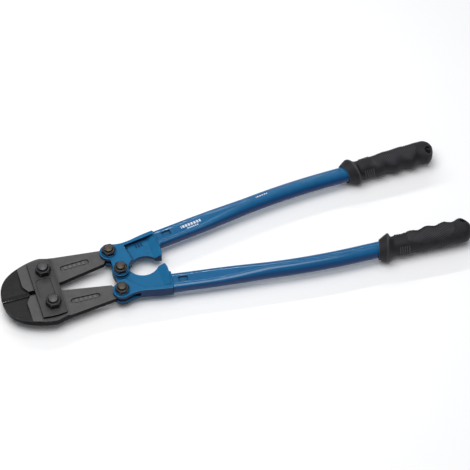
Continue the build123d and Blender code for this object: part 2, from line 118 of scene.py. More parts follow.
# %% [markdown]
# ## Bench and light
# A product studio: a pale bench and one large soft box overhead, a little towards the blades, for an even
# light on the flats. Two thin strips, one beyond the tool and one above its far side, draw the lines of
# light along the enamel. Little light comes from the front, so the walls that face the viewer stay dark
# and the thickness of the steel reads well.

# %% Bench and light
bpy.context.scene.view_settings.view_transform = "Standard"


def soft_box(name, place, size, power, tint=(1.0, 1.0, 1.0)):
    """A square area light that faces the middle of the tool."""
    data = bpy.data.lights.new(name, "AREA")
    data.shape = "RECTANGLE"
    data.size = size[0]
    data.size_y = size[1]
    data.energy = power
    data.color = tint
    light = bpy.data.objects.new(name, data)
    light.location = middle + Vector(place)
    light.rotation_euler = Vector(place).to_track_quat("Z", "Y").to_euler()
    bpy.context.scene.collection.objects.link(light)
    return light


soft_box("overhead_box", (-0.25, -0.15, 1.5), (1.3, 1.0), 20)
soft_box("back_strip", (0.1, 1.25, 1.05), (1.9, 0.03), 7.0)
soft_box("near_strip", (0.3, 0.45, 1.35), (1.9, 0.025), 2.2)

world = bpy.data.worlds.new("studio")
world.use_nodes = True
world.node_tree.nodes["Background"].inputs["Color"].default_value = (0.93, 0.95, 1.0, 1)
world.node_tree.nodes["Background"].inputs["Strength"].default_value = 0.26
bpy.context.scene.world = world

bpy.ops.object.select_all(action="DESELECT")
bpy.ops.mesh.primitive_plane_add(size=12, location=(0, 0, 0))
bench = bpy.context.object
bench.name = "bench"
print("bench and lights are set")

# %% [markdown]
# ## Node helpers
# Every finish below is a node material. A small helper adds a node and sets its plain values, and another
# one starts a shader node group with named sockets, so that one effect serves several finishes.

# %% Node helpers
def add(tree, kind, inputs=None, **settings):
    """Adds a node. Settings are its properties, inputs are values or links for its sockets."""
    node = tree.nodes.new("ShaderNode" + kind)
    for key, value in settings.items():
        setattr(node, key, value)
    for key, value in (inputs or {}).items():
        if isinstance(value, bpy.types.NodeSocket):
            tree.links.new(value, node.inputs[key])
        else:
            node.inputs[key].default_value = value
    return node


def group_tree(name, inputs, outputs):
    """A shader node group with float, vector or colour sockets."""
    tree = bpy.data.node_groups.new(name, "ShaderNodeTree")
    for label, kind, value in inputs:
        socket = tree.interface.new_socket(label, in_out="INPUT", socket_type="NodeSocket" + kind)
        socket.default_value = value
    for label, kind in outputs:
        tree.interface.new_socket(label, in_out="OUTPUT", socket_type="NodeSocket" + kind)
    return tree, tree.nodes.new("NodeGroupInput").outputs, tree.nodes.new("NodeGroupOutput").inputs


def use(tree, group, **values):
    """Places a group in a material, with its own values. Socket names have underscores for spaces."""
    node = tree.nodes.new("ShaderNodeGroup")
    node.node_tree = group
    for key, value in values.items():
        node.inputs[key.replace("_", " ")].default_value = value
    return node.outputs


def maths(tree, operation, first, second=0.5, third=0.5, clamp=False):
    node = add(tree, "Math", operation=operation, use_clamp=clamp)
    for socket, value in zip(node.inputs, (first, second, third)):
        if isinstance(value, bpy.types.NodeSocket):
            tree.links.new(value, socket)
        else:
            socket.default_value = value
    return node.outputs[0]


def mix_colour(tree, share, first, second, blend="MIX"):
    """Mixes two colours; each may be a link or a plain RGB."""
    node = add(tree, "Mix", data_type="RGBA", blend_type=blend)
    for index, value in ((0, share), (6, first), (7, second)):
        if isinstance(value, bpy.types.NodeSocket):
            tree.links.new(value, node.inputs[index])
        elif index:
            node.inputs[index].default_value = (*value, 1)
        else:
            node.inputs[index].default_value = value
    return node.outputs[2]


def ramp(tree, value, start, end, from_value=0.0, to_value=1.0):
    """Stretches start..end to from_value..to_value, smoothly and clamped."""
    node = add(tree, "MapRange", interpolation_type="SMOOTHSTEP")
    tree.links.new(value, node.inputs["Value"])
    sockets = ("From Min", "From Max", "To Min", "To Max")
    for key, number in zip(sockets, (start, end, from_value, to_value)):
        node.inputs[key].default_value = number
    return node.outputs["Result"]


print("node helpers are ready")

# %% [markdown]
# ## Worn edges
# Handling and tumbling wear a corner first. The bevel node gives the normal that a softly rounded corner
# would have; where it leaves the true normal, there is an edge. A noise breaks the wear up, so that it is
# never an even line. The same rounded normal goes on to the bump, which makes sharp steel catch light.

# %% Group: worn edges
def build_worn_edges():
    tree, given, result = group_tree(
        "worn edges",
        [("Width", "Float", 0.0008), ("Breakup", "Float", 0.5), ("Grain size", "Float", 260.0)],
        [("Mask", "Float"), ("Round normal", "Vector")],
    )
    rounded = add(tree, "Bevel", {"Radius": given["Width"]}, samples=6)
    plain = add(tree, "NewGeometry")
    both = {0: rounded.outputs["Normal"], 1: plain.outputs["Normal"]}
    dot = add(tree, "VectorMath", both, operation="DOT_PRODUCT")
    edge = ramp(tree, dot.outputs["Value"], 0.995, 0.86)
    place = add(tree, "TexCoord").outputs["Object"]
    noise = add(tree, "TexNoise",
                {"Vector": place, "Scale": given["Grain size"], "Detail": 5.0, "Roughness": 0.6})
    patches = ramp(tree, noise.outputs["Fac"], 0.38, 0.62)
    share = maths(tree, "MULTIPLY", patches, given["Breakup"])
    kept = maths(tree, "SUBTRACT", 1.0, given["Breakup"])
    total = maths(tree, "ADD", share, kept)
    tree.links.new(maths(tree, "MULTIPLY", edge, total, clamp=True), result["Mask"])
    tree.links.new(rounded.outputs["Normal"], result["Round normal"])
    return tree


worn_edges = build_worn_edges()
print("group:", worn_edges.name)

# %% [markdown]
# ## Forged grain
# Forged and shot-blasted steel has three sizes of unevenness: a slow waviness from the die, a pitted
# grain from the blasting, and a fine tooth that scatters light. One group gives the height of all three
# and a tone that follows them, which each finish uses in its own strength.

# %% Group: forged grain
def build_forged_grain():
    tree, given, result = group_tree(
        "forged grain",
        [("Waves", "Float", 60.0), ("Pits", "Float", 700.0), ("Tooth", "Float", 2600.0),
         ("Pit depth", "Float", 0.6)],
        [("Height", "Float"), ("Tone", "Float")],
    )
    place = add(tree, "TexCoord").outputs["Object"]
    waves = add(tree, "TexNoise", {"Vector": place, "Scale": given["Waves"], "Detail": 3.0})
    pits = add(tree, "TexVoronoi", {"Vector": place, "Scale": given["Pits"]}, feature="SMOOTH_F1")
    tooth = add(tree, "TexNoise",
                {"Vector": place, "Scale": given["Tooth"], "Detail": 6.0, "Roughness": 0.7})
    hollow = ramp(tree, pits.outputs["Distance"], 0.05, 0.5)
    deep = maths(tree, "MULTIPLY", hollow, given["Pit depth"])
    slow = maths(tree, "MULTIPLY", waves.outputs["Fac"], 1.5)
    fine = maths(tree, "MULTIPLY", tooth.outputs["Fac"], 0.55)
    height = maths(tree, "ADD", maths(tree, "ADD", deep, slow), fine)
    tree.links.new(height, result["Height"])
    blotch = add(tree, "TexNoise", {"Vector": place, "Scale": 95.0, "Detail": 8.0, "Roughness": 0.68})
    tone = maths(tree, "ADD", maths(tree, "MULTIPLY", blotch.outputs["Fac"], 0.6),
                 maths(tree, "MULTIPLY", tooth.outputs["Fac"], 0.4))
    tree.links.new(ramp(tree, tone, 0.3, 0.7), result["Tone"])
    return tree


forged_grain = build_forged_grain()
print("group:", forged_grain.name)

# %% [markdown]
# ## Facing
# The finishes use it to paint the flat faces lighter and the walls darker, as painted shade of the light
# from above.
# The object's own normal tells them apart: it stays with a piece when a joint turns, because it is measured
# on the piece itself.

# %% Group: facing
def build_facing():
    tree, given, result = group_tree(
        "facing",
        [("Start", "Float", 0.55), ("End", "Float", 0.97)],
        [("Flat", "Float"), ("Tilt", "Float")],
    )
    normal = add(tree, "TexCoord").outputs["Normal"]
    up = maths(tree, "ABSOLUTE", add(tree, "SeparateXYZ", {0: normal}).outputs["Z"])
    span = add(tree, "MapRange", {"Value": up, "From Min": given["Start"], "From Max": given["End"]},
               interpolation_type="SMOOTHSTEP")
    tree.links.new(span.outputs["Result"], result["Flat"])
    tree.links.new(up, result["Tilt"])
    return tree


facing = build_facing()
print("group:", facing.name)

# %% [markdown]
# ## Cavities
# Inner corners are painted darker, as painted shade. Ambient occlusion measures how closed in a point is:
# near a wall or in a recess the rays that leave it hit the piece again. A noise makes the painted shade
# uneven.

# %% Group: cavities
def build_painted_corner_shade():
    tree, given, result = group_tree(
        "painted_corner_shade", [("Reach", "Float", 0.004), ("Grain size", "Float", 320.0)], [("Corner shade", "Float")],
    )
    closed = add(tree, "AmbientOcclusion", {"Distance": given["Reach"]}, samples=12, only_local=True)
    place = add(tree, "TexCoord").outputs["Object"]
    noise = add(tree, "TexNoise", {"Vector": place, "Scale": given["Grain size"], "Detail": 4.0})
    uneven = ramp(tree, noise.outputs["Fac"], 0.3, 0.7, 0.75, 1.0)
    depth = ramp(tree, closed.outputs["AO"], 0.97, 0.6)
    tree.links.new(maths(tree, "MULTIPLY", depth, uneven, clamp=True), result["Corner shade"])
    return tree


painted_corner_shade = build_painted_corner_shade()
print("group:", painted_corner_shade.name)

# %% [markdown]
# ## Black oxide
# The jaws and straps are forged, blasted and blackened. The finish is a dark grey, speckled at the scale of
# the blasting and rubbed to a duller silver along the edges. It is painted a little lighter on the flats and
# darker on the walls, as painted shade. The jaws also have a ground bevel with a smoother, darker face,
# found by its slope and by its place in front of the straps.

# %% Black oxide
def new_material(name):
    material = bpy.data.materials.new(name)
    material.use_nodes = True
    tree = material.node_tree
    return material, tree, tree.nodes["Principled BSDF"].inputs


def dress(node_names, material):
    """Gives CAD nodes their finish, by assigning to their material slots."""
    for name in node_names:
        node = frame["nodes"][name]
        for place in node.material_slots:
            place.material = material


def black_oxide(name, flat_tone, shaded_wall_tone, wear_tone, bevel_end=None):
    material, tree, shader = new_material(name)
    grain = use(tree, forged_grain)
    edges = use(tree, worn_edges, Width=0.0009, Breakup=0.75)
    face = use(tree, facing, Start=0.6, End=0.99)
    speck = mix_colour(tree, grain["Tone"], [0.72 * c for c in flat_tone], [1.22 * c for c in flat_tone])
    # painted shade: the walls take the dark shaded tone, the flats the lighter lit one
    body = mix_colour(tree, face["Flat"], shaded_wall_tone, speck)
    rough = ramp(tree, grain["Tone"], 0.0, 1.0, 0.42, 0.6)
    if bevel_end is not None:
        place = add(tree, "SeparateXYZ", {0: add(tree, "TexCoord").outputs["Object"]})
        ahead = maths(tree, "LESS_THAN", place.outputs["X"], bevel_end)
        off_level = ramp(tree, face["Tilt"], 0.9995, 0.998)
        not_a_wall = ramp(tree, face["Tilt"], 0.4, 0.6)
        sloped = maths(tree, "MULTIPLY", off_level, not_a_wall)
        ground = maths(tree, "MULTIPLY", ahead, sloped)
        ground_tone = mix_colour(tree, grain["Tone"], (0.003, 0.003, 0.0035), (0.007, 0.007, 0.0078))
        body = mix_colour(tree, ground, body, ground_tone)
        rough = maths(tree, "SUBTRACT", rough, maths(tree, "MULTIPLY", ground, 0.12))
    corner_shade = use(tree, painted_corner_shade, Reach=0.005)["Corner shade"]
    # painted shade: inner corners are darkened towards black
    body = mix_colour(tree, corner_shade, body, (0.003, 0.003, 0.003))
    wear = maths(tree, "MULTIPLY", edges["Mask"], maths(tree, "SUBTRACT", 1.0, corner_shade), clamp=True)
    tree.links.new(mix_colour(tree, wear, body, wear_tone), shader["Base Color"])
    polish = maths(tree, "MULTIPLY", edges["Mask"], 0.1)
    tree.links.new(maths(tree, "SUBTRACT", rough, polish), shader["Roughness"])
    shine = ramp(tree, face["Flat"], 0.0, 1.0, 0.08, 0.34)
    if bevel_end is not None:
        shine = maths(tree, "SUBTRACT", shine, maths(tree, "MULTIPLY", ground, 0.24))
    shine = maths(tree, "MULTIPLY", shine, maths(tree, "SUBTRACT", 1.0, corner_shade), clamp=True)
    tree.links.new(shine, shader["Specular IOR Level"])
    shader["Metallic"].default_value = 0.12
    bump = add(tree, "Bump", {"Strength": 0.5, "Distance": 0.00012, "Height": grain["Height"],
                              "Normal": edges["Round normal"]})
    tree.links.new(bump.outputs["Normal"], shader["Normal"])
    return material


strap_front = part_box("strap_top")[0].x
jaw_oxide = black_oxide("jaw oxide", (0.07, 0.0685, 0.0685), (0.005, 0.005, 0.0055), (0.2, 0.2, 0.2),
                        strap_front)
strap_oxide = black_oxide("strap oxide", (0.042, 0.042, 0.0435), (0.004, 0.004, 0.0045), (0.17, 0.17, 0.17))
dress(["jaw_upper", "jaw_lower"], jaw_oxide)
dress(["strap_top", "strap_bottom"], strap_oxide)
print("black oxide on the jaws and straps")

# %% [markdown]
# ## Nuts and bolts
# The nuts are darkened and have bright rims where a spanner has turned them. The bolt ends show plain
# steel with a warm tint from oil and tempering.

# %% Nuts and bolts
def fastener(name, tone, wear_tone, metal, rough):
    material, tree, shader = new_material(name)
    grain = use(tree, forged_grain, Waves=140.0, Pits=1500.0, Pit_depth=0.3)
    edges = use(tree, worn_edges, Width=0.0012, Breakup=0.25, Grain_size=420.0)
    body = mix_colour(tree, grain["Tone"], [0.6 * c for c in tone], [1.3 * c for c in tone])
    corner_shade = use(tree, painted_corner_shade, Reach=0.003)["Corner shade"]
    # painted shade: inner corners are darkened towards black
    body = mix_colour(tree, corner_shade, body, (0.004, 0.004, 0.004))
    tree.links.new(mix_colour(tree, edges["Mask"], body, wear_tone), shader["Base Color"])
    tree.links.new(ramp(tree, grain["Tone"], 0.0, 1.0, rough, rough + 0.16), shader["Roughness"])
    shader["Metallic"].default_value = metal
    bump = add(tree, "Bump", {"Strength": 0.4, "Distance": 0.00008, "Height": grain["Height"],
                              "Normal": edges["Round normal"]})
    tree.links.new(bump.outputs["Normal"], shader["Normal"])
    return material


nut_finish = fastener("dark nut", (0.012, 0.012, 0.0135), (0.24, 0.235, 0.23), 0.6, 0.36)
small_bolt_finish = fastener("oiled bolt end", (0.07, 0.058, 0.046), (0.3, 0.26, 0.2), 0.6, 0.4)
big_bolt_finish = fastener("grey bolt end", (0.075, 0.075, 0.078), (0.22, 0.22, 0.22), 0.6, 0.4)
dress(["jaw_nut_upper", "jaw_nut_lower", "link_nut_upper", "link_nut_lower", "centre_nut"], nut_finish)
dress(["link_bolt_upper", "link_bolt_lower", "centre_bolt"], small_bolt_finish)
dress(["jaw_bolt_upper", "jaw_bolt_lower"], big_bolt_finish)
print("fasteners dressed")

# %% [markdown]
# ## Printed bars
# The upper tube carries a small print in pale ink. A row of plain bars stands for it: the point is moved
# and turned into the row, where its length and width are compared with the row's, and a fraction makes
# the gaps.

# %% Group: printed bars
def build_printed_bars():
    tree, given, result = group_tree(
        "printed bars",
        [("Place", "Vector", (0, 0, 0)), ("Turn", "Float", 0.0), ("Half length", "Float", 0.01),
         ("Half width", "Float", 0.002), ("Pitch", "Float", 0.004), ("Fill", "Float", 0.68)],
        [("Mask", "Float")],
    )
    coordinate = add(tree, "TexCoord")
    ends = {0: coordinate.outputs["Object"], 1: given["Place"]}
    moved = add(tree, "VectorMath", ends, operation="SUBTRACT")
    back_turn = maths(tree, "MULTIPLY", given["Turn"], -1.0)
    turned = add(tree, "VectorRotate", {"Vector": moved.outputs["Vector"], "Angle": back_turn},
                 rotation_type="Z_AXIS")
    row = add(tree, "SeparateXYZ", {0: turned.outputs["Vector"]})
    long = maths(tree, "LESS_THAN", maths(tree, "ABSOLUTE", row.outputs["X"]), given["Half length"])
    wide = maths(tree, "LESS_THAN", maths(tree, "ABSOLUTE", row.outputs["Y"]), given["Half width"])
    step = maths(tree, "FRACT", maths(tree, "DIVIDE", row.outputs["X"], given["Pitch"]))
    bar = maths(tree, "LESS_THAN", step, given["Fill"])
    upright = add(tree, "SeparateXYZ", {0: coordinate.outputs["Normal"]}).outputs["Z"]
    on_top = maths(tree, "GREATER_THAN", upright, 0.5)
    in_row = maths(tree, "MULTIPLY", long, wide)
    on_bar = maths(tree, "MULTIPLY", bar, on_top)
    tree.links.new(maths(tree, "MULTIPLY", in_row, on_bar), result["Mask"])
    return tree


printed_bars = build_printed_bars()
print("group:", printed_bars.name)

# %% [markdown]
# ## Blue enamel
# Yokes and tubes are dipped in the same blue enamel. Under it the yokes keep the rough skin of their
# forging, and the tubes are smooth with a slow orange peel. The walls are painted a deeper blue, as painted
# shade, and the edges lighter, partly where the film thins and partly as a painted highlight. A clear coat
# on the shader gives the crisp lines of light.

# %% Blue enamel
def enamel(name, tone, shaded_enamel_tone, thin_film_and_highlight_tone, skin, skin_depth, gloss, coat, print_marks=()):
    material, tree, shader = new_material(name)
    grain = use(tree, forged_grain, Waves=skin[0], Pits=skin[1], Tooth=skin[2], Pit_depth=0.35)
    edges = use(tree, worn_edges, Width=0.0011, Breakup=0.35, Grain_size=180.0)
    face = use(tree, facing, Start=0.25, End=0.9)
    flat = mix_colour(tree, grain["Tone"], [0.86 * c for c in tone], [1.1 * c for c in tone])
    # painted shade: the walls take the deeper shaded blue, the flats the lit one
    shaded_film = mix_colour(tree, face["Flat"], shaded_enamel_tone, flat)
    corner_shade = use(tree, painted_corner_shade, Reach=0.006)["Corner shade"]
    # painted shade: inner corners are darkened to a deep blue
    shaded_film = mix_colour(tree, maths(tree, "MULTIPLY", corner_shade, 0.9), shaded_film, (0.0008, 0.008, 0.03))
    open_edge = maths(tree, "SUBTRACT", 1.0, corner_shade)
    # edges painted lighter: partly the thin film there, partly a painted highlight
    thin_film_and_highlight = maths(tree, "MULTIPLY", maths(tree, "MULTIPLY", edges["Mask"], 0.35), open_edge, clamp=True)
    colour = mix_colour(tree, thin_film_and_highlight, shaded_film, thin_film_and_highlight_tone)
    for values in print_marks:
        colour = mix_colour(tree, use(tree, printed_bars, **values)["Mask"], colour, (0.6, 0.66, 0.7))
    tree.links.new(colour, shader["Base Color"])
    tree.links.new(ramp(tree, grain["Tone"], 0.0, 1.0, gloss, gloss + 0.12), shader["Roughness"])
    tree.links.new(ramp(tree, face["Flat"], 0.0, 1.0, 0.35 * coat, coat), shader["Coat Weight"])
    shader["Coat Roughness"].default_value = 0.04
    shader["Specular IOR Level"].default_value = 0.14
    bump = add(tree, "Bump", {"Strength": 0.5, "Distance": skin_depth, "Height": grain["Height"],
                              "Normal": edges["Round normal"]})
    tree.links.new(bump.outputs["Normal"], shader["Normal"])
    return material


tube_way = radians(8.2)


def print_row(along, across, half_length, half_width, pitch):
    """A row of bars on the upper tube, placed from the upper link pivot."""
    link = pivots["handles_open"]
    return {
        "Place": (link.x + along, link.y + across, 0),
        "Turn": tube_way,
        "Half_length": half_length,
        "Half_width": half_width,
        "Pitch": pitch,
    }


print_rows = (
    print_row(117.5 * mm, 11.9 * mm, 14.5 * mm, 2.1 * mm, 4.1 * mm),
    print_row(119.5 * mm, 7.3 * mm, 8.5 * mm, 0.9 * mm, 2.8 * mm),
    print_row(222.5 * mm, 27.1 * mm, 8.5 * mm, 0.7 * mm, 3.4 * mm),
)
yoke_enamel = enamel("yoke enamel", (0.003, 0.115, 0.262), (0.0004, 0.022, 0.085), (0.05, 0.27, 0.48),
                     (70.0, 420.0, 1500.0), 0.0003, 0.42, 0.3)
tube_enamel = enamel("tube enamel", (0.002, 0.1, 0.245), (0.0004, 0.03, 0.12), (0.04, 0.25, 0.46),
                     (45.0, 160.0, 900.0), 0.00004, 0.3, 0.65, print_rows)
dress(["yoke_upper", "yoke_lower"], yoke_enamel)
dress(["handle_tube_upper", "handle_tube_lower"], tube_enamel)
print("enamel on the yokes and tubes")

# %% [markdown]
# ## Moulded rubber
# The grips are a soft black rubber with a dry, slightly grey skin. Its colour is almost even, with a fine
# spark-eroded texture from the mould and a little wear on the edges, and the skin is never perfectly matt.
# The hollows are painted darker, as painted shade, and the crests lighter, as a painted highlight.

# %% Moulded rubber
def rubber(name):
    material, tree, shader = new_material(name)
    place = add(tree, "TexCoord").outputs["Object"]
    skin = add(tree, "TexVoronoi", {"Vector": place, "Scale": 1400.0}, feature="SMOOTH_F1")
    cloud = add(tree, "TexNoise", {"Vector": place, "Scale": 55.0, "Detail": 7.0, "Roughness": 0.62})
    fine = add(tree, "TexNoise", {"Vector": place, "Scale": 2400.0, "Detail": 3.0})
    edges = use(tree, worn_edges, Width=0.0009, Breakup=0.6, Grain_size=200.0)
    dust = ramp(tree, cloud.outputs["Fac"], 0.35, 0.7)
    tone = mix_colour(tree, dust, (0.007, 0.007, 0.0085), (0.016, 0.016, 0.019))
    bend = add(tree, "NewGeometry").outputs["Pointiness"]
    # crests get a painted highlight and hollows a painted shade
    crest = ramp(tree, bend, 0.51, 0.57)
    hollow = ramp(tree, bend, 0.5, 0.42)
    tone = mix_colour(tree, hollow, tone, (0.002, 0.002, 0.0025))
    worn = maths(tree, "MULTIPLY", edges["Mask"], 0.4)
    # edge wear together with the painted highlight on the crests
    rubbed_and_sheen = maths(tree, "MAXIMUM", worn, maths(tree, "MULTIPLY", crest, 0.8))
    tree.links.new(mix_colour(tree, rubbed_and_sheen, tone, (0.06, 0.06, 0.07)), shader["Base Color"])
    shader["Specular IOR Level"].default_value = 0.28
    rough = ramp(tree, cloud.outputs["Fac"], 0.3, 0.75, 0.5, 0.68)
    polish = maths(tree, "MULTIPLY", edges["Mask"], 0.1)
    tree.links.new(maths(tree, "SUBTRACT", rough, polish), shader["Roughness"])
    height = maths(tree, "ADD", maths(tree, "MULTIPLY", skin.outputs["Distance"], 0.6),
                   maths(tree, "MULTIPLY", fine.outputs["Fac"], 0.4))
    bump = add(tree, "Bump", {"Strength": 0.5, "Distance": 0.00012, "Height": height})
    tree.links.new(bump.outputs["Normal"], shader["Normal"])
    return material


grip_rubber = rubber("moulded rubber")
print("rubber finish is ready")

# %% [markdown]
# ## Grip: where it sits
# The grip is drawn along +X from its mouth, with its outer side towards +Y, and then turned and moved onto
# the handle. The hanging hole of the CAD model tells where: it lies a known way along the grip and to the
# inside of its axis.

# %% Grip: where it sits
grip_turn = radians(2.0)
grip_long = 130.3 * mm
hole_at = 121.0 * mm
hole_in = 7.5 * mm
mounts = {mount["name"]: mount for mount in frame["record"]["mounts"]}
hole = Vector(mounts["hang_hole_upper"]["pos_m"])
hole_r = mounts["hang_hole_upper"]["dims"]["r_mm"] * mm
hole_long = mounts["hang_hole_upper"]["dims"]["length_mm"] * mm
grip_way = Vector((cos(grip_turn), sin(grip_turn), 0))
grip_side = Vector((-sin(grip_turn), cos(grip_turn), 0))
grip_mouth = hole - grip_way * hole_at + grip_side * hole_in
print("grip mouth at", [round(value * 1000, 1) for value in grip_mouth])

# %% [markdown]
# ## Grip: sections
# A grip is a stack of ovals. Each section has a half width on the palm side, one on the finger side and a
# half height. The finger side swells four times, once for each finger. The collar leans: its outer side
# reaches further towards the blades, so that it lies square to a hand that pulls inwards.

# %% Grip: sections
neck_at = 21 * mm
neck_half = 13.4 * mm
palm_at = 108 * mm
palm_half = 16.6 * mm
palm_flat = 0.9
finger_pitch = 24 * mm
finger_first = 46.5 * mm
finger_swell = 1.8 * mm
nose = 13 * mm
collar_lean = radians(16)


def palm_section(run):
    """Palm half width, finger half width and half height at a distance from the mouth."""
    share = min(1.0, max(0.0, (run - neck_at) / (palm_at - neck_at)))
    half = neck_half + (palm_half - neck_half) * share ** 0.8
    fade = min(1.0, max(0.0, (run - neck_at) / finger_pitch))
    wave = finger_swell * cos(2 * pi * (run - finger_first) / finger_pitch) * fade
    tall = half * (1 - (1 - palm_flat) * share)
    taper = 1.0
    left = grip_long - run
    if left < nose:
        taper = sqrt(max(0.0, 1 - (1 - left / nose) ** 2))
    return half * taper, (half + wave) * taper, tall * (0.25 + 0.75 * taper)


collar_r = 19.4 * mm
collar_rings = [  # distance from the mouth, radius and share of the lean: out of the bore, over the crest
    (112.2 * mm, 11.1 * mm, 0.0),
    (12.0 * mm, 11.1 * mm, 0.0),
    (11.6 * mm, 12.2 * mm, 0.5),
    (1.0 * mm, 12.3 * mm, 1.0),
    (0.3 * mm, 12.6 * mm, 1.0),
    (0.0 * mm, 13.1 * mm, 1.0),
    (0.3 * mm, 13.6 * mm, 1.0),
    (1.2 * mm, 14.0 * mm, 1.0),
    (6.0 * mm, collar_r - 2.6 * mm, 1.0),
    (10.2 * mm, collar_r - 0.3 * mm, 1.0),
    (10.7 * mm, collar_r, 1.0),
    (13.0 * mm, collar_r - 0.1 * mm, 1.0),
    (13.6 * mm, collar_r - 0.6 * mm, 0.95),
    (15.4 * mm, collar_r - 3.2 * mm, 0.8),
    (17.2 * mm, neck_half + 1.1 * mm, 0.5),
    (19.2 * mm, neck_half + 0.2 * mm, 0.2),
]
print("collar rings:", len(collar_rings))

# %% [markdown]
# ## Grip: the body
# The body is made as a mould maker thinks of it, ring by ring: a circle at the blind end of the bore is
# extruded out to the mouth, over the lip and collar, and then along the palm to the nose. Every ring is the
# last one, extruded and resized, so the mesh is one closed skin of even four-sided faces, fine enough for
# the texture that comes later.

# %% Grip: the body
around = 64
palm_step = 1.55 * mm


def deselect_all():
    if bpy.context.object and bpy.context.object.mode != "OBJECT":
        bpy.ops.object.mode_set(mode="OBJECT")
    bpy.ops.object.select_all(action="DESELECT")


class Ring:
    """The open end of a tube in edit mode, which each call to go() extrudes to a new oval."""

    def __init__(self, run, radius):
        deselect_all()
        bpy.ops.mesh.primitive_circle_add(
            vertices=around, radius=radius, fill_type="NGON", location=(run, 0, 0), rotation=(0, pi / 2, 0)
        )
        bpy.ops.object.transform_apply(location=True, rotation=True, scale=True)
        bpy.ops.object.mode_set(mode="EDIT")
        bpy.ops.mesh.select_all(action="SELECT")
        self.centre = Vector((run, 0, 0))
        self.half = (radius, radius)
        self.lean = 0.0

    def go(self, run, side, wide, tall, lean=0.0):
        move = Vector((run, side, 0)) - self.centre
        bpy.ops.mesh.extrude_edges_move(TRANSFORM_OT_translate={"value": move})
        self.centre += move
        if self.lean:
            bpy.ops.transform.rotate(value=self.lean, orient_axis="Z", center_override=self.centre)
        ratio = (1, wide / self.half[0], tall / self.half[1])
        bpy.ops.transform.resize(value=ratio, center_override=self.centre)
        if lean:
            bpy.ops.transform.rotate(value=-lean, orient_axis="Z", center_override=self.centre)
        self.half = (wide, tall)
        self.lean = lean


palm_rows = round((grip_long - nose - neck_at) / palm_step)
palm_pitch = (grip_long - nose - neck_at) / palm_rows


def palm_stations():
    first = neck_at
    last = grip_long - nose
    count = palm_rows
    stations = [first + (last - first) * step / count for step in range(count + 1)]
    turns = 12
    stations += [grip_long - nose * (1 - sin(pi / 2 * step / turns)) for step in range(1, turns)]
    return stations


def build_grip_body():
    first = collar_rings[0]
    ring = Ring(first[0], first[1])
    for run, radius, share in collar_rings[1:]:
        ring.go(run, 0, radius, radius, collar_lean * share)
    for run in palm_stations():
        outer, inner, tall = palm_section(run)
        ring.go(run, (outer - inner) / 2, (outer + inner) / 2, tall)
    bpy.ops.mesh.merge(type="COLLAPSE")
    bpy.ops.mesh.select_all(action="SELECT")
    bpy.ops.mesh.normals_make_consistent(inside=False)
    bpy.ops.mesh.select_all(action="DESELECT")
    return bpy.context.object


grip = build_grip_body()
print("grip body:", len(bmesh.from_edit_mesh(grip.data).faces), "faces")

# %% [markdown]
# ## Grip: ribs and checkering
# Short ribs across the neck stop a finger from sliding forward, and a field of small diamonds on the top
# and the bottom gives bite. Ribs are every second band of faces on the two sides, extruded along their
# normals. Diamonds come from a simple trick: on an even grid, raising every second point of a chequered
# pattern makes a pyramid on each one.

# %% Grip: ribs and checkering
def around_share(point):
    """Angle round the grip from the top, towards the palm side, on the section's own oval."""
    outer, inner, tall = palm_section(point.x)
    wide = (outer + inner) / 2
    middle_y = (outer - inner) / 2
    return atan2((point.y - middle_y) / wide, point.z / tall)


def select_faces(mesh, wanted):
    bpy.ops.mesh.select_mode(type="FACE")
    count = 0
    for face in mesh.faces:
        chosen = wanted(face.calc_center_median())
        face.select_set(chosen)
        count += chosen
    bmesh.update_edit_mesh(grip.data)
    return count


ribs_from = neck_at + 3 * palm_pitch
rib_pitch = 2 * palm_pitch
rib_count = 5
rib_reach = radians(38)


def on_a_rib(point):
    step = (point.x - ribs_from) / rib_pitch
    on_band = 0 <= step < rib_count and step % 1 < 0.5
    return on_band and abs(abs(around_share(point)) - pi / 2) < rib_reach


print("rib faces:", select_faces(bmesh.from_edit_mesh(grip.data), on_a_rib))
bpy.ops.mesh.extrude_region_shrink_fatten(TRANSFORM_OT_shrink_fatten={"value": 0.9 * mm})

field_middle = 73 * mm
field_half = 33 * mm
field_reach = radians(52)
bpy.ops.mesh.select_all(action="DESELECT")
bpy.ops.mesh.select_mode(type="VERT")
mesh = bmesh.from_edit_mesh(grip.data)
count = 0
for vertex in mesh.verts:
    along = (vertex.co.x - field_middle) / field_half
    if abs(along) >= 1 or vertex.co.y ** 2 + vertex.co.z ** 2 < (11.5 * mm) ** 2:
        continue
    turned = around_share(vertex.co)
    from_top = min(abs(turned), pi - abs(turned))
    ring_number = round((vertex.co.x - neck_at) / palm_pitch)
    spoke = round(turned * around / (2 * pi))
    inside = from_top < field_reach * (1 - along ** 4) ** 0.5
    if inside and (ring_number + spoke) % 2 == 0:
        vertex.select_set(True)
        count += 1
bmesh.update_edit_mesh(grip.data)
bpy.ops.transform.shrink_fatten(value=0.85 * mm)
print("diamonds:", count)

# %% [markdown]
# ## Grip: the hanging hole
# The hole is a boolean cut with a stepped plug: a straight pin for the wall of the hole and a wider seat
# above and below it, so that a nail head or cord finds its way in.

